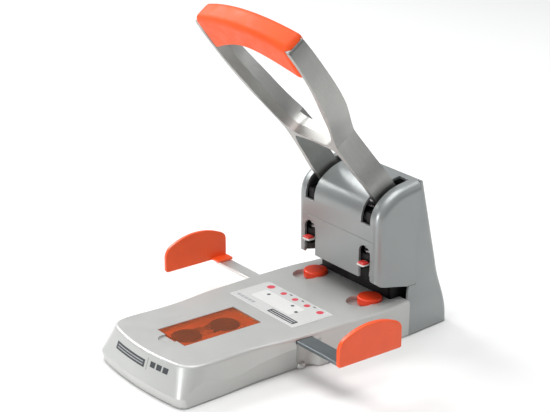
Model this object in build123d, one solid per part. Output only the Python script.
from build123d import *
import math
import os

os.makedirs("parts", exist_ok=True)

# Two-hole desk punch with a lever handle. Millimetres. The model is drawn in a working frame with
# X to the user's right, Y to the back, Z up, Y = 0 on the front face of the tower and Z = 0 on the desk.
# save() moves each piece along Y, so that the origin ends up under the centre of the whole object.

# ---- driving dimensions: overall ----
HOLE_PITCH = 80.0
BASE_FRONT = -226.0
TOWER_REAR = 87.0
SHIFT_Y = -(BASE_FRONT + TOWER_REAR) / 2
WALL = 2.5
GAP = 0.3
FIT = 0.05
PUNCH_X = HOLE_PITCH / 2
PUNCH_Y = 10.0

# ---- base ----
BASE_TOP = 35.3
SKIN_Z = BASE_TOP - WALL
RIM_Z = 1.0
CREASE_Z = 10.0
BASE_REAR = 33.4
TOP_EDGE = 3.0
SCOOP_X, SCOOP_Y, SCOOP_Z, SCOOP_R = 72.2, -85.0, 29.0, 14.2
PLATE_Z0, PLATE_Z1 = 1.5, 3.5
PLATE_X, PLATE_Y0, PLATE_Y1 = 53.0, -214.0, 79.0
FOOT_R = 9.0
FOOT_SPOTS = [(-42, -203), (42, -203), (-42, 66), (42, 66)]
BOSS_R, SCREW_R, SCREW_HEAD_R = 4.5, 1.5, 3.4
BOSS_SPOTS = [(-47, -198), (47, -198), (-46, -116), (46, -116), (-56, -60), (56, -60)]

# ---- storage compartment ----
LID_X, LID_Y0, LID_Y1 = 21.2, -185.2, -103.2
LID_Z0, LID_Z1 = 33.0, 35.0
LID_AXIS_Y, LID_AXIS_Z = -105.0, 34.0
LID_PIN_R = 0.7
TRAY_FLOOR, TRAY_SHELF = 26.0, 31.2
POCKET_R = 14.0
POCKET_YS = (-168.5, -127.5)
SPARE_R, SPARE_H = 13.0, 6.0

# ---- cutting discs ----
DISC_R, DISC_Y = 11.5, 7.4
DISC_Z0, DISC_Z1 = 31.3, 38.6
DISC_SEAT_Z0, DISC_SEAT_FLOOR = 28.0, 31.0
NOTCH_R, NOTCH_DX, NOTCH_DY = 12.5, -2.0, -10.4

# ---- paper guides ----
GUIDE_X1, GUIDE_T = 133.0, 3.7
GUIDE_X0 = GUIDE_X1 - GUIDE_T
GUIDE_Y0, GUIDE_Y1 = -104.0, -34.0
GUIDE_Z0 = 32.6
BAR_Z0, BAR_Z1 = 29.5, 32.5
BAR_SPAN = {"right": (-98.0, -81.0), "left": (-48.0, -34.5)}
BAR_INNER_END = -27.0
SOCKET_X, SOCKET_Z0, SOCKET_Z1 = 119.0, BAR_Z1, 34.8
BAR_OUTER_END = 126.5
SOCKET_SPAN = {"right": (-93.0, -78.5), "left": (-50.0, -33.0)}
SOCKET_SCREW_X = 123.0
RAIL_X = 54.0

# ---- steel frame of the tower ----
FRAME_X0, FRAME_X1 = 48.0, 51.0
PIVOT_Y, PIVOT_Z = 42.0, 110.0
AXLE_R = 4.0
THROAT_BACK = 22.0
BLOCK_Z0, BLOCK_Z1 = 74.5, 80.0

# ---- tower covers ----
TOWER_X = 60.0
SHIELD_BOTTOM = 57.0
SHIELD_EDGE = 9.0
REAR_SEAM = BASE_REAR + GAP
REAR_CORNER = 8.0
SLOT_LOW_X, SLOT_LOW_TOP = 8.0, 90.0
SLOT_HIGH_X0, SLOT_HIGH_X1 = 34.2, 47.2
SLOT_HIGH_BOTTOM, SLOT_HIGH_BACK = 111.0, 45.0

# ---- handle: its own plane leans forward; s runs up along the arms and n runs to the back ----
LEAN = 36.0
HANDLE_Y, HANDLE_Z = -32.8, 190.1
ARM_X, ARM_T, ARM_N = 44.0, 6.0, 24.5
WAIST_X = 37.4
PIVOT_S, SHOULDER_S = -108.9, -60.0
ARM_END_R = 12.6
HANDLE_FAR = 200
RING_X = 68.5
RING_TOP = 136.0
RING_FLARE, HOLE_FLARE = 2.0, 4.5
RIDGE_N = 9.0
RIDGE_DEPTH = 2.0
BAND_S, BAND_N, GAP_TOP = -3.0, 19.0, -6.4
BAND_CUT = [(-30, -14), (30, -14), (33, 2), (-33, 2)]
RING_PROFILE = [(40, 23), (RING_TOP + 5, 17.5), (RING_TOP + 5, -1)]
GRIP_N = 20.9
GRIP_ROUND, GRIP_ROUND_INSIDE = 6.0, 2.5
LEVER_X0, LEVER_X1 = 34.0, 38.0
DRIVE_Y, DRIVE_Z, DRIVE_R = 9.0, 115.0, 2.5

# ---- punches ----
HOLDER_R = 6.0
HOLDER_Z0, HOLDER_Z1 = 70.0, 104.0
HEAD_X0, HEAD_X1 = 38.5, 45.5
HEAD_Z1 = 121.0
CUTTER_R, CUTTER_BORE_R = 3.0, 2.2
TIP_Z = 56.5
CLIP_Z = 71.6


# ---- helpers ----
def block(x0, x1, y0, y1, z0, z1):
    """A box given by its limits."""
    return Pos((x0 + x1) / 2, (y0 + y1) / 2, (z0 + z1) / 2) * Box(abs(x1 - x0), y1 - y0, z1 - z0)


def rod_x(x0, x1, y, z, r):
    """A round rod along X."""
    return Pos((x0 + x1) / 2, y, z) * Rot(0, 90, 0) * Cylinder(r, abs(x1 - x0))


def rod_y(x, y0, y1, z, r):
    """A round rod along Y."""
    return Pos(x, (y0 + y1) / 2, z) * Rot(90, 0, 0) * Cylinder(r, y1 - y0)


def rod_z(x, y, z0, z1, r):
    """A round rod along Z."""
    return Pos(x, y, (z0 + z1) / 2) * Cylinder(r, z1 - z0)


def side_slab(outline, x0, x1):
    """A side view given by edges in (y, z), extruded from x0 to x1."""
    face = Plane.YZ * make_face(outline)
    return Pos(min(x0, x1), 0, 0) * extrude(face, abs(x1 - x0), dir=(1, 0, 0))


def polygon(points):
    """A closed outline with straight sides."""
    return Polyline(*points, close=True)


def pill(a, b, ra, rb, x0, x1):
    """A lever plate between x0 and x1: two round ends about (y, z) points a and b, joined by tangents."""
    span = math.hypot(b[0] - a[0], b[1] - a[1])
    lean = math.atan2(b[1] - a[1], b[0] - a[0])
    spread = math.acos((ra - rb) / span)
    corners = []
    for centre, radius, sign in ((a, ra, 1), (b, rb, 1), (b, rb, -1), (a, ra, -1)):
        angle = lean + sign * spread
        corners.append((centre[0] + radius * math.cos(angle), centre[1] + radius * math.sin(angle)))
    plate = side_slab(polygon(corners), x0, x1)
    return plate + rod_x(x0, x1, a[0], a[1], ra) + rod_x(x0, x1, b[0], b[1], rb)


def mirrored(solid):
    """The same piece on the other side of the object."""
    return mirror(solid, about=Plane.YZ)


def both_sides(solid):
    """A piece and its mirror image, as separate solids."""
    return [solid, mirrored(solid)]


def save(name, *solids):
    """Write one node in the row's frame, as a group of separate solids."""
    moved = []
    for item in solids:
        moved += [Pos(0, SHIFT_Y, 0) * solid for solid in item.solids()]
    shape = moved[0] if len(moved) == 1 else Compound(children=moved)
    export_step(shape, f"parts/{name}.step")


# ---- base ----
def base_face(z, front, front_end, side_start, flare, inset):
    """One level of the base: an arc across the front, round corners and gently waisted sides.

    front is the y of the front's middle, front_end and side_start are the two ends of the round
    corner, and flare is how far the flanks stand out from their line at the top, ahead and behind.
    """
    front_mid = (0, front + inset)
    front_end = (front_end[0] - inset / 2, front_end[1] + inset)
    side_start = (side_start[0] - inset, side_start[1] + inset / 2)
    side_points = [side_start]
    for x, y in ((61.4, -172), (61.8, -136), (65.2, -110), (67.3, -86), (69.2, -49), (70.0, -20), (69.2, 8)):
        share = min(max((y + 136) / 87, 0), 1)
        side_points.append((x + flare[0] * (1 - share) + flare[1] * share - inset, y))
    side_points.append((66.6 + flare[1] / 3 - inset, BASE_REAR + (1 if inset else 0)))
    arc = ThreePointArc((-front_end[0], front_end[1]), front_mid, front_end)
    turn = TangentArc(front_end, side_start, tangent=arc % 1)
    flank = Spline(*side_points, tangents=(turn % 1, (0, 1)))
    back = Line(flank @ 1, (-(flank @ 1).X, (flank @ 1).Y))
    edges = [arc, turn, flank, mirrored(turn), mirrored(flank), back]
    return Pos(0, 0, z) * make_face(edges)


def base_body(inset):
    """The base's outer form, or with an inset the hollow inside it."""
    top = base_face(BASE_TOP - inset, -217.3, (47, -211.5), (60.8, -197.5), (0, 0), inset)
    middle = base_face(CREASE_Z, BASE_FRONT, (57.0, -221.2), (67.0, -210.5), (3.0, -1.5), inset)
    bottom_z = RIM_Z - (2 if inset else 0)
    bottom = base_face(bottom_z, BASE_FRONT + 2, (56.0, -219.4), (65.6, -209), (2.0, -2.5), inset)
    body = loft([middle, top], ruled=True) + loft([bottom, middle], ruled=True)
    if not inset:
        rim = body.faces().sort_by(Axis.Z)[-1].edges().filter_by(lambda e: e.center().Y < BASE_REAR - 1)
        body = fillet(rim, TOP_EDGE)
    return body - undercut(inset) - mirrored(undercut(inset))


def undercut(grow):
    """What is missing under one flank: a facet that leans in more and more, then a scoop.

    Each station along the flank has the x of the facet's foot and how far it leans out per mm of height.
    """
    far = 90
    low, high = RIM_Z - 4, BASE_TOP + 3
    sections = []
    for y, foot_x, lean in ((-222, 65.2, 0.04), (-176, 62.7, 0.08), (-138, 59.4, 0.21), (-84, 57.8, 0.40)):
        outline = [
            (foot_x - grow + lean * low, y, low),
            (foot_x - grow + lean * high, y, high),
            (far, y, high),
            (far, y, low),
        ]
        sections.append(make_face(Polyline(*outline, close=True)))
    scoop = rod_z(SCOOP_X, SCOOP_Y, low, SCOOP_Z + grow / 2, SCOOP_R + grow)
    return loft(sections, ruled=True) + scoop


def base_cover():
    """Moulded cover of the base, open underneath and at the tower."""
    body = base_body(0)
    cover = body - base_body(WALL)
    for x, y in BOSS_SPOTS:
        cover += rod_z(x, y, PLATE_Z1, SKIN_Z + 0.5, BOSS_R)
        cover -= rod_z(x, y, PLATE_Z1 - 1, 14, SCREW_R)
    lug = rod_z(SCOOP_X - SCOOP_R, SCOOP_Y - 2, RIM_Z, 5.5, 4.4)
    lug = fillet(lug.edges().group_by(Axis.Z)[-1], 1.8) - base_body(WALL)
    cover += lug
    cover += mirrored(lug)
    cover -= block(-LID_X - GAP, LID_X + GAP, LID_Y0 - GAP, LID_Y1 + 0.6, SKIN_Z - 1, BASE_TOP + 1)
    cover -= rod_z(0, LID_Y0 - 3.0, BASE_TOP - 1.8, BASE_TOP + 1, 9.0)
    cover -= rod_x(-25, 25, LID_AXIS_Y, LID_AXIS_Z, LID_PIN_R + FIT)
    for side in (-1, 1):
        x = side * PUNCH_X
        cover -= rod_z(x, DISC_Y, SKIN_Z - 1, BASE_TOP + 1, DISC_R + GAP)
        cover -= rod_z(x + NOTCH_DX, DISC_Y + NOTCH_DY, SKIN_Z - 1, BASE_TOP + 1, NOTCH_R)
    cover -= block(-FRAME_X1 - 1, FRAME_X1 + 1, THROAT_BACK - 0.5, BASE_REAR + 2, SKIN_Z - 1, BASE_TOP + 1)
    for side, (y0, y1) in BAR_SPAN.items():
        sign = 1 if side == "right" else -1
        cover -= block(sign * 50, sign * 80, y0 - 0.5, y1 + 0.5, BAR_Z0 - 0.5, SKIN_Z)
    return cover


def base_plate():
    """Steel floor plate under the base and the tower."""
    plate = block(-PLATE_X, PLATE_X, PLATE_Y0, PLATE_Y1, PLATE_Z0, PLATE_Z1)
    plate = fillet(plate.edges().filter_by(Axis.Z), 12)
    for x, y in BOSS_SPOTS:
        plate -= rod_z(x, y, 0, 5, SCREW_R + 0.1)
        plate -= rod_z(x, y, 0, PLATE_Z0 + 1.2, SCREW_HEAD_R + 0.1)
    return plate


def base_screw(x, y):
    """Flat-headed screw from below, through the floor plate into a boss of the cover."""
    return rod_z(x, y, PLATE_Z0, PLATE_Z0 + 1.1, SCREW_HEAD_R) + rod_z(x, y, PLATE_Z0, 12, SCREW_R - FIT)


def rubber_foot(x, y):
    """Round foot under the floor plate."""
    foot = rod_z(x, y, 0, PLATE_Z0, FOOT_R)
    return chamfer(foot.edges().group_by(Axis.Z)[0], 0.5)


def storage_tray():
    """Compartment under the lid, with a round pocket for each spare disc."""
    x = LID_X + 2
    tray = block(-x, x, LID_Y0 - 2, LID_Y1 + 2.4, TRAY_FLOOR - 2, SKIN_Z)
    tray -= block(-LID_X - GAP, LID_X + GAP, LID_Y0 + 0.5, LID_Y1 + 0.6, TRAY_SHELF, SKIN_Z + 1)
    for y in POCKET_YS:
        tray -= rod_z(0, y, TRAY_FLOOR, SKIN_Z, POCKET_R)
    middle = sum(POCKET_YS) / 2
    tray -= block(-9, 9, middle - 9, middle + 9, TRAY_FLOOR, SKIN_Z)
    return tray


def spare_disc(y):
    """Spare cutting disc lying in its pocket."""
    disc = rod_z(0, y, TRAY_FLOOR + 0.1, TRAY_FLOOR + 0.1 + SPARE_H, SPARE_R)
    return chamfer(disc.edges().group_by(Axis.Z)[-1], 0.8)


def spare_clip():
    """Small sprung clip that keeps the two spare discs apart."""
    y = sum(POCKET_YS) / 2
    base = block(-7, 7, y - 4, y + 4, TRAY_FLOOR, TRAY_FLOOR + 2)
    fingers = block(-7, -5.5, y - 3, y + 3, TRAY_FLOOR, TRAY_SHELF + 1.5)
    fingers += block(5.5, 7, y - 3, y + 3, TRAY_FLOOR, TRAY_SHELF + 1.5)
    waist = rod_z(0, POCKET_YS[0], 20, 40, SPARE_R + 0.5) + rod_z(0, POCKET_YS[1], 20, 40, SPARE_R + 0.5)
    return base + fingers - waist


def storage_lid():
    """Tinted see-through lid, hinged along its rear edge."""
    lid = block(-LID_X, LID_X, LID_Y0, LID_Y1, LID_Z0, LID_Z1)
    lid = fillet(lid.edges().filter_by(Axis.X).group_by(Axis.Y)[-1], 0.9)
    lid = fillet(lid.edges().filter_by(Axis.Z).group_by(Axis.Y)[0], 1.5)
    lid = chamfer(lid.faces().sort_by(Axis.Z)[-1].edges().group_by(Axis.Y)[0], 0.4)
    for sign in (-1, 1):
        lid -= rod_x(sign * (LID_X - 5), sign * 30, LID_AXIS_Y, LID_AXIS_Z, LID_PIN_R)
    return lid


def lid_pin(sign):
    """Steel pin pressed into the lid's end, turning in the cover."""
    return rod_x(sign * (LID_X - 5), sign * (LID_X + 3), LID_AXIS_Y, LID_AXIS_Z, LID_PIN_R)


def instruction_label():
    """Thin label on the base, ahead of the discs."""
    label = block(-48.4, 48.4, -88, -42, BASE_TOP, BASE_TOP + 0.2)
    return fillet(label.edges().filter_by(Axis.Z), 1.5)


def guide_rail(side):
    """Channel under the cover's skin, in which a guide bar slides."""
    y0, y1 = BAR_SPAN[side]
    rail = block(-RAIL_X, RAIL_X, y0 - 2, y1 + 2, BAR_Z0 - 2.5, SKIN_Z)
    return rail - block(-RAIL_X - 1, RAIL_X + 1, y0 - GAP, y1 + GAP, BAR_Z0 - GAP, SKIN_Z + 1)


# ---- cutting discs ----
def disc_seat(side):
    """Cup under the cover that holds one cutting disc and forms the finger recess ahead of it."""
    x, y = side * PUNCH_X, DISC_Y
    cup = rod_z(x, y, DISC_SEAT_Z0, SKIN_Z, DISC_R + 2.5)
    cup += rod_z(x + NOTCH_DX, y + NOTCH_DY, DISC_SEAT_Z0, SKIN_Z, NOTCH_R + 1.5)
    cup -= rod_z(x, y, DISC_SEAT_FLOOR, SKIN_Z + 1, DISC_R + GAP)
    cup -= rod_z(x + NOTCH_DX, y + NOTCH_DY, DISC_SEAT_FLOOR, SKIN_Z + 1, NOTCH_R)
    return cup


def cutting_disc():
    """Plastic disc that the punch cuts against; it is turned by hand to bring up fresh plastic."""
    disc = rod_z(PUNCH_X, DISC_Y, DISC_Z0, DISC_Z1, DISC_R)
    disc = fillet(disc.edges().group_by(Axis.Z)[-1], 1.2)
    disc = chamfer(disc.edges().group_by(Axis.Z)[0], 0.5)
    for step in range(24):
        turn = math.radians(15 * step)
        x = PUNCH_X + DISC_R * math.cos(turn)
        y = DISC_Y + DISC_R * math.sin(turn)
        disc -= rod_z(x, y, BASE_TOP, DISC_Z1 - 1.4, 0.5)
    return disc


def anvil_bar():
    """Steel bar between the frame plates that takes the punching force under both discs."""
    bar = block(-FRAME_X0, FRAME_X0, -4, 20, 16, DISC_SEAT_Z0)
    for y, z in ANVIL_BOLTS:
        bar -= both_ends_bore(y, z)
    return bar


def both_ends_bore(y, z):
    """Blind holes for the frame bolts in both ends of a crosspiece."""
    return rod_x(-FRAME_X0 - 1, -FRAME_X0 + 8, y, z, 2.0) + rod_x(FRAME_X0 - 8, FRAME_X0 + 1, y, z, 2.0)


# ---- paper guides ----
def guide_outline():
    """Side view of a guide plate: straight foot, arched top, round upper corners."""
    foot = Line((GUIDE_Y0 + 1.5, GUIDE_Z0), (GUIDE_Y1 - 2, GUIDE_Z0 + 0.4))
    heel = ThreePointArc(foot @ 1, (GUIDE_Y1 - 0.5, GUIDE_Z0 + 1.2), (GUIDE_Y1, GUIDE_Z0 + 3))
    rear = Line(heel @ 1, (GUIDE_Y1, 52))
    shoulder = ThreePointArc(rear @ 1, (-35.8, 56.5), (-40.5, 59.5))
    top = ThreePointArc(shoulder @ 1, (-68, 65.4), (-96, 58.8))
    brow = ThreePointArc(top @ 1, (-101.2, 54.6), (GUIDE_Y0, 47))
    front = Line(brow @ 1, (GUIDE_Y0, GUIDE_Z0 + 1.5))
    toe = Line(front @ 1, foot @ 0)
    return [foot, heel, rear, shoulder, top, brow, front, toe]


def guide_plate(side):
    """Moulded plate that the paper's edge rests against, with a flange that its bar is screwed to."""
    plate = side_slab(guide_outline(), GUIDE_X0, GUIDE_X1)
    plate = fillet(plate.faces().sort_by(Axis.X)[-1].edges(), 1.0)
    y0, y1 = SOCKET_SPAN[side]
    socket = block(SOCKET_X, GUIDE_X0 + 0.5, y0, y1, SOCKET_Z0, SOCKET_Z1)
    plate += chamfer(socket.edges().group_by(Axis.X)[0], 0.6)
    for x, y in guide_screw_spots(side):
        plate -= rod_z(x, y, SOCKET_Z0 - 1, SOCKET_Z1 - 0.6, 1.2)
    return plate if side == "right" else mirrored(plate)


def guide_screw_spots(side):
    """The (x, y) of the two screws through a guide's socket."""
    y0 = max(SOCKET_SPAN[side][0], BAR_SPAN[side][0])
    y1 = min(SOCKET_SPAN[side][1], BAR_SPAN[side][1])
    quarter = (y1 - y0) / 4
    return [(SOCKET_SCREW_X, y0 + quarter), (SOCKET_SCREW_X, y1 - quarter)]


def guide_bar(side):
    """Flat steel bar that slides in the base and carries a guide plate."""
    y0, y1 = BAR_SPAN[side]
    bar = block(BAR_INNER_END, BAR_OUTER_END, y0, y1, BAR_Z0, BAR_Z1)
    bar = chamfer(bar.edges().filter_by(Axis.X).group_by(Axis.Z)[-1], 0.3)
    for x, y in guide_screw_spots(side):
        bar -= rod_z(x, y, BAR_Z0 - 1, BAR_Z1 + 1, 1.2)
    return bar if side == "right" else mirrored(bar)


def guide_screws(side):
    """Two small screws that hold the bar to the plate's flange, from below."""
    screws = []
    for x, y in guide_screw_spots(side):
        screw = rod_z(x, y, BAR_Z0 - 0.8, BAR_Z0, 2.2) + rod_z(x, y, BAR_Z0 - 0.5, SOCKET_Z1 - 0.8, 1.15)
        screws.append(screw if side == "right" else mirrored(screw))
    return screws


# ---- steel frame of the tower ----
def frame_plate():
    """C-shaped steel plate: lower jaw under the discs, upper jaw for the punches, open for the paper."""
    points = [
        (-8, PLATE_Z1), (70, PLATE_Z1), (68, 45), (62, 88), (54.5, 131), (28, 131), (5, 112), (5, 63),
        (THROAT_BACK + 2, 60), (THROAT_BACK + 2, 28), (-8, 28),
    ]
    plate = side_slab(polygon(points), FRAME_X0, FRAME_X1)
    plate -= rod_x(FRAME_X0 - 1, FRAME_X1 + 1, PIVOT_Y, PIVOT_Z, AXLE_R)
    for y, z in FRAME_BOLTS:
        plate -= rod_x(FRAME_X0 - 1, FRAME_X1 + 1, y, z, 2.0)
    return plate


def back_plate():
    """Steel plate across the back of the frame, which the rear cover is screwed to."""
    plate = block(-FRAME_X0, FRAME_X0, BACK_Y0, BACK_Y1, 14, 98)
    for x, z in COVER_SCREWS:
        plate -= rod_y(x, BACK_Y0 - 1, BACK_Y1 + 1, z, 1.6)
    for y, z in BACK_BOLTS:
        plate -= both_ends_bore(y, z)
    return plate


def frame_bolt(y, z):
    """Round-headed bolt through a frame plate into a crosspiece."""
    bolt = rod_x(FRAME_X1, FRAME_X1 + 2.4, y, z, 3.6)
    bolt = fillet(bolt.edges().group_by(Axis.X)[-1], 0.8)
    bolt -= Pos(FRAME_X1 + 2.4, y, z) * Rot(0, 90, 0) * extrude(RegularPolygon(1.5, 6), 1.2, both=True)
    return bolt + rod_x(FRAME_X0 - 7, FRAME_X1, y, z, 2.0 - FIT)


def paper_stop():
    """Wall at the back of the throat that sets the distance from the paper's edge to the holes."""
    return block(-FRAME_X0, FRAME_X0, THROAT_BACK, THROAT_BACK + 2, BASE_TOP - 7, 62)


def punch_guide_block():
    """Steel crosspiece with a bore for each punch holder."""
    y0, y1 = 3.5, 21.0
    body = block(-FRAME_X0, FRAME_X0, y0, y1, BLOCK_Z0, BLOCK_Z1)
    body += block(-28, 28, y0, y1, 61, BLOCK_Z1)
    for side in (-1, 1):
        body -= rod_z(side * PUNCH_X, PUNCH_Y, 60, 90, HOLDER_R + FIT)
    body -= both_ends_bore(*GUIDE_BOLT)
    return body


def handle_stop():
    """Round bar across the frame; the raised arms rest against it."""
    return rod_x(-FRAME_X0, FRAME_X0, STOP_Y, STOP_Z, 4.0)


def pivot_axle():
    """Steel axle through both frame plates, grooved for its clips."""
    axle = rod_x(-FRAME_X1 - 3, FRAME_X1 + 3, PIVOT_Y, PIVOT_Z, AXLE_R - FIT)
    for sign in (-1, 1):
        ring = rod_x(sign * (FRAME_X1 + 0.5), sign * (FRAME_X1 + 1.6), PIVOT_Y, PIVOT_Z, AXLE_R)
        ring -= rod_x(sign * (FRAME_X1 + 0.4), sign * (FRAME_X1 + 1.7), PIVOT_Y, PIVOT_Z, AXLE_R - 1)
        axle -= ring
    return axle


def axle_clip():
    """Spring clip in the axle's groove."""
    clip = rod_x(FRAME_X1 + 0.55, FRAME_X1 + 1.55, PIVOT_Y, PIVOT_Z, 7.0)
    clip -= rod_x(FRAME_X1, FRAME_X1 + 3, PIVOT_Y, PIVOT_Z, AXLE_R - 1 + FIT)
    return clip - block(FRAME_X1, FRAME_X1 + 3, PIVOT_Y - 2.4, PIVOT_Y + 2.4, PIVOT_Z, PIVOT_Z + 10)


# ---- tower covers ----
def shield_outline(inset):
    """Side view of the front shield; an inset gives its hollow, open below and behind."""
    front_low = (inset, SHIELD_BOTTOM)
    spring = (inset, 112)
    seam_top = (50, 146.8 - inset)
    front = Line(front_low, spring)
    crown = Spline(
        spring, (6.3 + inset * 0.8, 130 - inset * 0.5), (18 + inset * 0.4, 138.8 - inset), seam_top,
        tangents=((0, 1), (1, 0.18)),
    )
    if inset:
        back = Line(crown @ 1, (60, 146.8))
        drop = Line(back @ 1, (60, 30))
        sole = Line(drop @ 1, (inset, 30))
        return [front, crown, back, drop, sole, Line(sole @ 1, front_low)]
    seam = Polyline(seam_top, (49, 126), (49, 106), (45.5, 94), (45.5, 47.5), (35, 47.5), (24, 50), (4, 54))
    return [front, crown, seam, Line(seam @ 1, front_low)]


def shield_body(inset):
    """The shield's rounded outer form, or its hollow."""
    x = TOWER_X - inset
    body = side_slab(shield_outline(inset), -x, x)
    edges = body.edges().filter_by(lambda e: abs(abs(e.center().X) - x) < 0.01)
    rim = edges.filter_by(lambda e: e.center().Y < 2.6 + inset and e.center().Z > 70)
    crown = edges.filter_by(lambda e: e.center().Z > 130 and 4 < e.center().Y < 40)
    return fillet(rim + crown, SHIELD_EDGE - inset)


def front_shield():
    """Painted shell over the front and top of the tower, slotted for the punches and the arms."""
    shield = shield_body(0) - shield_body(WALL)
    shield -= block(-48, 48, -1, WALL + 8, 40, SHIELD_BOTTOM)
    for side in (-1, 1):
        x = side * PUNCH_X
        low = block(x - SLOT_LOW_X, x + SLOT_LOW_X, -5, 9, 40, SLOT_LOW_TOP - SLOT_LOW_X)
        low += rod_y(x, -5, 9, SLOT_LOW_TOP - SLOT_LOW_X, SLOT_LOW_X)
        shield -= low
        high = block(
            side * SLOT_HIGH_X0, side * SLOT_HIGH_X1, -5, SLOT_HIGH_BACK, SLOT_HIGH_BOTTOM, 160
        )
        shield -= high
    shield -= block(-TOWER_X, TOWER_X, -1, 0.35, 95.6, 96.2)
    corner_x = PUNCH_X + SLOT_LOW_X
    corners = shield.edges().filter_by(
        lambda e: abs(abs(e.center().X) - corner_x) < 0.1 and 50 < e.center().Z < SHIELD_BOTTOM and e.length < 9
    )
    return fillet(corners, 2.4)


def rear_outline(inset):
    """Side view that trims the rear cover: its top, its seam with the shield and its open front."""
    top = (50.3, 146.5 - inset)
    brow = (53.5, 145.6 - inset)
    knee = (58.6 - inset, 137.5 - inset)
    heel = (96 - inset, -6)
    cap = Line(top, brow)
    round_top = ThreePointArc(brow, (57.0 - inset * 0.7, 142.6 - inset), knee)
    slope = Line(knee, heel)
    if inset:
        front = Polyline(heel, (20, -6), (20, 146.5 - inset), top)
        return [cap, round_top, slope, front]
    front = Polyline(
        heel, (heel[0], RIM_Z), (REAR_SEAM, RIM_Z), (REAR_SEAM, BASE_TOP - 1), (35.0, 40), (37.5, 47.2),
        (45.7, 47.2), (45.7, 94), (49.3, 106), (49.3, 126), top,
    )
    return [cap, round_top, slope, front]


def rear_plan(z, front_x, rear_x, rear_y, inset):
    """Plan view of the rear cover at one height, with round rear corners."""
    front_y = 20
    points = [
        (inset - front_x, front_y), (front_x - inset, front_y),
        (rear_x - inset, rear_y - inset), (inset - rear_x, rear_y - inset),
    ]
    face = make_face(polygon(points))
    corners = face.vertices().group_by(Axis.Y)[-1]
    return Pos(0, 0, z) * fillet(corners, REAR_CORNER - inset)


def rear_body(inset):
    """The rear cover's outer form, or its hollow: upright walls that flare out at the foot."""
    flare = []
    for z, front_x, rear_x, rear_y in (
        (-3, 67.8, 60.2, TOWER_REAR),
        (12, 67.6, 60.0, 86.6),
        (24, 66.6, 59.6, 84.6),
        (38, 63.0, 58.8, 80.7),
        (52, 60.6, 58.4, 76.6),
        (63, 60.2, 58.2, 74.4),
    ):
        flare.append(rear_plan(z, front_x, rear_x, rear_y, inset))
    crown = rear_plan(150, TOWER_X, 57.0, 55.9, inset)
    plan = loft(flare) + loft([flare[-1], crown], ruled=True)
    return plan & side_slab(rear_outline(inset), -80, 80)


def rear_cover():
    """Painted shell over the back of the tower, down to the desk, with screw bosses inside."""
    outer = rear_body(0)
    cover = outer - rear_body(WALL)
    for x, z in COVER_SCREWS:
        boss = rod_y(x, BACK_Y1, TOWER_REAR, z, 4.6) & outer
        cover += boss
        cover -= rod_y(x, BACK_Y1 - 1, TOWER_REAR + 5, z, 1.6)
        cover -= rod_y(x, cover_seat_y(z), TOWER_REAR + 5, z, 3.6)
    return cover


def cover_seat_y(z):
    """Where the head of a rear cover screw sits."""
    return BACK_Y1 + 3.0 if z > 60 else 72.0


def cover_screw(x, z):
    """Round-headed screw through the rear cover into the back plate."""
    seat = cover_seat_y(z)
    screw = rod_y(x, seat, seat + 2.2, z, 3.2)
    screw = fillet(screw.edges().group_by(Axis.Y)[-1], 0.6)
    slot = block(x - 2.2, x + 2.2, seat + 1.2, seat + 3, z - 0.4, z + 0.4)
    return screw + rod_y(x, BACK_Y0, seat, z, 1.5) - slot


# ---- handle ----
HANDLE_PLANE = Plane(
    origin=(0, HANDLE_Y, HANDLE_Z),
    x_dir=(1, 0, 0),
    z_dir=(0, -math.cos(math.radians(LEAN)), -math.sin(math.radians(LEAN))),
)


def handle_point(s, n):
    """The (y, z) of a place s up the handle's front face and n behind it."""
    lean = math.radians(LEAN)
    y = HANDLE_Y - s * math.sin(lean) + n * math.cos(lean)
    z = HANDLE_Z + s * math.cos(lean) + n * math.sin(lean)
    return y, z


def handle_slab(face, n0, n1):
    """A face drawn in the handle's plane as (x, s), thickened from n0 to n1 towards the back."""
    placed = HANDLE_PLANE * face
    back = HANDLE_PLANE.z_dir * -1
    return Pos(*(back * n0)) * extrude(placed, n1 - n0, dir=back)


def leaned_slab(*points):
    """A side view given by (s, n) points of the handle, as wide as the object."""
    return side_slab(polygon([handle_point(s, n) for s, n in points]), -80, 80)


def mirrored_outline(edges):
    """Edges on the right half, plus their images on the left half."""
    return make_face(list(edges) + [mirrored(edge) for edge in edges])


def frame_outer_face(flare=0):
    """Outline of the whole handle frame: arms, waist and ring. A flare widens the ring's legs."""
    foot = Line((0, -121), (ARM_X, -121))
    arm = Line(foot @ 1, (ARM_X, -62))
    flank = Spline(arm @ 1, (41, -43), (38.5, -24), (WAIST_X, -2.5), tangents=((0, 1), (0.02, 1)))
    cheek = Spline(
        flank @ 1, (44 + flare * 0.6, 15), (55.7 + flare, 41), (65.2 + flare * 0.6, 76), (RING_X, 104),
        (RING_X - 0.5, 126),
        tangents=((0.35, 1), (-0.12, 1)),
    )
    corner = ThreePointArc(cheek @ 1, (RING_X - 1.9, RING_TOP - 6.9), (RING_X - 5.5, RING_TOP - 5.6))
    top = ThreePointArc(corner @ 1, (RING_X / 2, RING_TOP - 1.2), (0, RING_TOP))
    return mirrored_outline([foot, arm, flank, cheek, corner, top])


def ring_hole_face(grow):
    """The ring's opening: nearly straight across the bottom band, then up inside the legs."""
    wall = ARM_T - grow
    floor = BAND_S - grow * 0.4
    bottom = Line((0, floor), (20, floor + 0.4))
    turn = Spline(bottom @ 1, (33.0 + grow * 0.3, 4), (44 + grow * 0.8, 26), tangents=((1, 0.05), (0.42, 1)))
    leg = Spline(
        turn @ 1, (55.7 - wall + 0.5, 47), (65.2 - wall, 78), (RING_X - wall, 104), (RING_X - wall - 0.7, 124),
        tangents=((0.42, 1), (-0.1, 1)),
    )
    top = Line(leg @ 1, (0, 124))
    return mirrored_outline([bottom, turn, leg, top])


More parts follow.
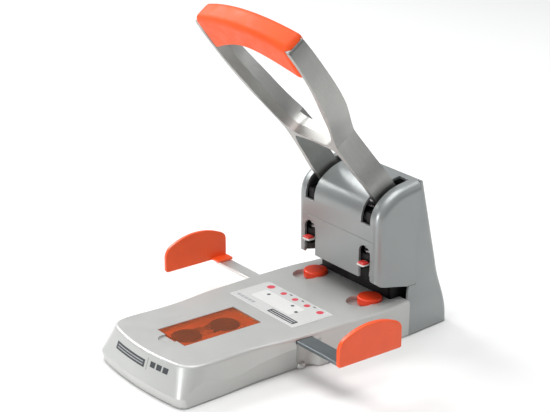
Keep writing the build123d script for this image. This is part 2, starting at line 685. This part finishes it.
def arm_gap_face():
    """The gap between the arms, below the band, with round upper corners."""
    inner = ARM_X - ARM_T
    foot = Line((0, -125), (inner, -125))
    arm = Line(foot @ 1, (inner, -62))
    flank = Spline(
        arm @ 1, (41.2 - ARM_T, -43), (38.7 - ARM_T, -23), (25, GAP_TOP - 2),
        tangents=((0, 1), (-1, 0.25)),
    )
    top = Line(flank @ 1, (0, GAP_TOP))
    return mirrored_outline([foot, arm, flank, top])


def handle_frame():
    """Satin aluminium frame: two arms, a band across the waist and a wide ring."""
    frame = loft_between(frame_outer_face(), 0, frame_outer_face(RING_FLARE), ARM_N)
    frame -= loft_between(ring_hole_face(RIDGE_DEPTH), -0.5, ring_hole_face(0), RIDGE_N)
    frame -= loft_between(ring_hole_face(0), RIDGE_N, ring_hole_face(HOLE_FLARE), ARM_N + 0.5)
    frame -= handle_slab(arm_gap_face(), -1, ARM_N + 1)
    frame -= handle_slab(make_face(polygon(BAND_CUT)), BAND_N, ARM_N + 1)
    frame &= leaned_slab((-130, -1), (-130, ARM_N), (-30, ARM_N), *RING_PROFILE)
    keep = leaned_slab((PIVOT_S, -2), (PIVOT_S, 30), (SHOULDER_S, 30), (SHOULDER_S, -2))
    keep += rod_x(-80, 80, PIVOT_Y, PIVOT_Z, ARM_END_R)
    keep += leaned_slab((SHOULDER_S - 2, -5), (SHOULDER_S - 2, 35), (HANDLE_FAR, 35), (HANDLE_FAR, -5))
    frame &= keep
    frame -= rod_x(-60, 60, PIVOT_Y, PIVOT_Z, BUSH_R)
    for y, z in LEVER_RIVETS:
        frame -= rod_x(-60, 60, y, z, 2.0)
    return frame


def loft_between(front, n0, back, n1):
    """A solid from one outline to another, at two depths of the handle's own plane."""
    start = Pos(*(HANDLE_PLANE.z_dir * -n0)) * (HANDLE_PLANE * front)
    end = Pos(*(HANDLE_PLANE.z_dir * -n1)) * (HANDLE_PLANE * back)
    return loft([start, end], ruled=True)


def grip_face():
    """Crescent outline of the grip, from leg to leg round the ring's top."""
    inner = Spline(
        (-64.5, 94.4), (-34, 107.8), (0, 115), (34, 107.8), (64.5, 94.4), tangents=((1, 0.5), (1, -0.5))
    )
    side = Spline(inner @ 1, (64.8, 112), (66.6, 126), tangents=((0.01, 1), (0.25, 1)))
    brow = ThreePointArc(side @ 1, (66.4, 130.5), (63.0, 134.2))
    top = ThreePointArc(brow @ 1, (0, 143.6), (-63.0, 134.2))
    return make_face([inner, side, brow, top, mirrored(side), mirrored(brow)])


def handle_grip():
    """Soft orange grip moulded round the top of the ring."""
    grip = handle_slab(grip_face(), -0.8, GRIP_N)
    long_edges = grip.edges().filter_by(lambda e: e.length > 100)
    corner_arcs = grip.edges().filter_by(lambda e: 9 < e.length < 11)
    grip = fillet(long_edges.filter_by(lambda e: e.center().Z > 300) + corner_arcs, GRIP_ROUND)
    inner_edges = grip.edges().filter_by(lambda e: e.length > 100 and e.center().Z < 296)
    return fillet(inner_edges, GRIP_ROUND_INSIDE) - handle_frame()


# ---- levers, pins and bushes on the handle ----
def drive_lever():
    """Black steel lever beside an arm: it carries the pin that pushes the punch down."""
    lever = pill((PIVOT_Y, PIVOT_Z), (DRIVE_Y, DRIVE_Z), 11.0, 5.4, LEVER_X0, LEVER_X1 - 0.05)
    top = LEVER_RIVETS[1]
    lever += pill((PIVOT_Y, PIVOT_Z), top, 11.0, 6.0, LEVER_X0, LEVER_X1 - 0.05)
    lever -= rod_x(30, 40, PIVOT_Y, PIVOT_Z, BUSH_R)
    lever -= rod_x(30, 40, DRIVE_Y, DRIVE_Z, DRIVE_R)
    for y, z in LEVER_RIVETS:
        lever -= rod_x(30, 40, y, z, 2.0)
    return lever


def lever_rivet(y, z):
    """Rivet that joins a lever to its arm."""
    rivet = rod_x(LEVER_X0, ARM_X, y, z, 2.0 - FIT)
    return rivet + rod_x(ARM_X, ARM_X + 1.2, y, z, 3.4) + rod_x(LEVER_X0 - 1.2, LEVER_X0, y, z, 3.4)


def drive_pin():
    """Bright steel pin between the lever and the head of the punch holder."""
    pin = rod_x(LEVER_X0 - 0.8, HEAD_X1 + 1.2, DRIVE_Y, DRIVE_Z, DRIVE_R - 0.02)
    return chamfer(pin.edges().group_by(Axis.X)[-1], 0.5)


def pivot_bush():
    """Bronze bush through the arm and the lever."""
    bush = rod_x(LEVER_X0 - 0.5, ARM_X + 0.5, PIVOT_Y, PIVOT_Z, BUSH_R - 0.02)
    return bush - rod_x(LEVER_X0 - 1, ARM_X + 1, PIVOT_Y, PIVOT_Z, AXLE_R)


# ---- punches ----
def punch_holder():
    """Round holder that slides in the guide block, with a slotted head that the drive pin works in."""
    holder = rod_z(PUNCH_X, PUNCH_Y, HOLDER_Z0, HOLDER_Z1 + 2, HOLDER_R)
    holder += rod_z(PUNCH_X, PUNCH_Y, HOLDER_Z1, HOLDER_Z1 + 2, 7.5)
    holder += block(HEAD_X0, HEAD_X1, PUNCH_Y - 6.8, PUNCH_Y + 6.8, HOLDER_Z1 + 1, HEAD_Z1)
    play = DRIVE_R + 0.45
    slot = rod_x(30, 50, DRIVE_Y - 0.6, DRIVE_Z, play) + rod_x(30, 50, DRIVE_Y + 2.8, DRIVE_Z, play)
    slot += block(30, 50, DRIVE_Y - 0.6, DRIVE_Y + 2.8, DRIVE_Z - play, DRIVE_Z + play)
    holder -= slot
    holder -= rod_z(PUNCH_X, PUNCH_Y, HOLDER_Z0 - 1, 90, CUTTER_R)
    holder -= rod_z(PUNCH_X, PUNCH_Y, 89, 108, CUTTER_BORE_R)
    holder -= rod_y(PUNCH_X, PUNCH_Y, PUNCH_Y + 9, 108, CUTTER_BORE_R)
    groove = rod_z(PUNCH_X, PUNCH_Y, CLIP_Z, CLIP_Z + 1.4, HOLDER_R + 1)
    groove -= rod_z(PUNCH_X, PUNCH_Y, CLIP_Z - 1, CLIP_Z + 2, HOLDER_R - 1.2)
    return holder - groove


def punch():
    """Hollow steel punch with a bevelled cutting edge; the waste climbs up its bore."""
    tube = rod_z(PUNCH_X, PUNCH_Y, TIP_Z, 90, CUTTER_R - 0.02)
    tube -= rod_z(PUNCH_X, PUNCH_Y, TIP_Z - 1, 91, CUTTER_BORE_R)
    bevel = Pos(PUNCH_X, PUNCH_Y, TIP_Z + 0.5) * Cone(CUTTER_BORE_R + 0.2, CUTTER_R, 1.0)
    ring = rod_z(PUNCH_X, PUNCH_Y, TIP_Z - 0.01, TIP_Z + 1, CUTTER_R + 1) - bevel
    return tube - ring


def punch_clip():
    """White spring clip that slides into the holder's groove and shows through the slot."""
    clip = block(PUNCH_X - 5, PUNCH_X + 5, -5.8, PUNCH_Y + 3, CLIP_Z + 0.1, CLIP_Z + 1.3)
    clip = fillet(clip.edges().filter_by(Axis.Z).group_by(Axis.Y)[0], 2.0)
    clip -= rod_z(PUNCH_X, PUNCH_Y, 60, 80, HOLDER_R - 1.15)
    inner = HOLDER_R - 1.15
    return clip - block(PUNCH_X - inner, PUNCH_X + inner, PUNCH_Y, PUNCH_Y + 9, 60, 80)


def clip_tab():
    """Red finger tab on top of the clip."""
    tab = block(PUNCH_X - 3.6, PUNCH_X + 4.6, -4.6, 2.0, CLIP_Z + 1.3, CLIP_Z + 3.0)
    return fillet(tab.edges().group_by(Axis.Z)[-1], 0.6)


def return_spring():
    """Coil spring round a punch holder, between the guide block and the holder's flange."""
    height = HOLDER_Z1 - BLOCK_Z1
    wire = 0.6
    radius = HOLDER_R + 0.9
    turns = 5
    path = Helix(pitch=(height - 2 * wire - 0.1) / turns, height=height - 2 * wire - 0.1, radius=radius)
    section = Plane(origin=path @ 0, z_dir=path % 0) * Circle(wire)
    coil = sweep(section, path=path)
    return Pos(PUNCH_X, PUNCH_Y, BLOCK_Z1 + wire + 0.05) * coil


# ---- places shared by several pieces ----
STOP_Y, STOP_Z = handle_point(-99, ARM_N + 4.0 + GAP)
BUSH_R = 5.6
LEVER_RIVETS = [handle_point(-95, 6.0), handle_point(-82, 12.5)]
GUIDE_BOLT = (18.6, 77.25)
BACK_Y0, BACK_Y1 = 57.0, 60.0
ANVIL_BOLTS = [(2, 22), (14, 22)]
BACK_BOLTS = [(58.5, 30), (58.5, 84)]
FRAME_BOLTS = ANVIL_BOLTS + [GUIDE_BOLT] + BACK_BOLTS
COVER_SCREWS = [(-28, 90), (28, 90), (-34, 22), (34, 22)]


def write_base():
    """Everything that stays with the base."""
    save("base_cover", base_cover())
    save("base_plate", base_plate())
    save("base_screws", *[base_screw(x, y) for x, y in BOSS_SPOTS])
    save("rubber_feet", *[rubber_foot(x, y) for x, y in FOOT_SPOTS])
    save("storage_tray", storage_tray())
    save("spare_cutting_discs", *[spare_disc(y) for y in POCKET_YS])
    save("spare_disc_clip", spare_clip())
    save("storage_lid", storage_lid())
    save("lid_hinge_pins", lid_pin(-1), lid_pin(1))
    save("instruction_label", instruction_label())
    save("guide_rails", guide_rail("left"), guide_rail("right"))
    save("disc_seats", disc_seat(-1), disc_seat(1))
    save("anvil_bar", anvil_bar())
    save("right_cutting_disc", cutting_disc())
    save("left_cutting_disc", mirrored(cutting_disc()))


def write_guides():
    """The two pull-out paper guides."""
    for side in ("left", "right"):
        save(f"{side}_guide_plate", guide_plate(side))
        save(f"{side}_guide_bar", guide_bar(side))
        save(f"{side}_guide_screws", *guide_screws(side))


def write_tower():
    """Frame and covers of the tower."""
    save("right_frame_plate", frame_plate())
    save("left_frame_plate", mirrored(frame_plate()))
    save("frame_back_plate", back_plate())
    bolts = [frame_bolt(y, z) for y, z in FRAME_BOLTS]
    save("frame_bolts", *bolts, *[mirrored(bolt) for bolt in bolts])
    save("paper_stop", paper_stop())
    save("punch_guide_block", punch_guide_block())
    save("handle_stop_bar", handle_stop())
    save("pivot_axle", pivot_axle())
    save("axle_clips", *both_sides(axle_clip()))
    save("front_shield", front_shield())
    save("rear_cover", rear_cover())
    save("cover_screws", *[cover_screw(x, z) for x, z in COVER_SCREWS])


def write_handle():
    """The lever handle and what turns with it."""
    save("handle_frame", handle_frame())
    save("handle_grip", handle_grip())
    save("right_drive_lever", drive_lever())
    save("left_drive_lever", mirrored(drive_lever()))
    rivets = [lever_rivet(y, z) for y, z in LEVER_RIVETS]
    save("lever_rivets", *rivets, *[mirrored(rivet) for rivet in rivets])
    save("drive_pins", *both_sides(drive_pin()))
    save("pivot_bushes", *both_sides(pivot_bush()))


def write_punches():
    """Each punch with its holder, clip and return spring."""
    for name, maker in (
        ("punch_holder", punch_holder),
        ("punch", punch),
        ("punch_clip", punch_clip),
        ("clip_tab", clip_tab),
        ("return_spring", return_spring),
    ):
        piece = maker()
        save(f"right_{name}", piece)
        save(f"left_{name}", mirrored(piece))


write_base()
write_guides()
write_tower()
write_handle()
write_punches()
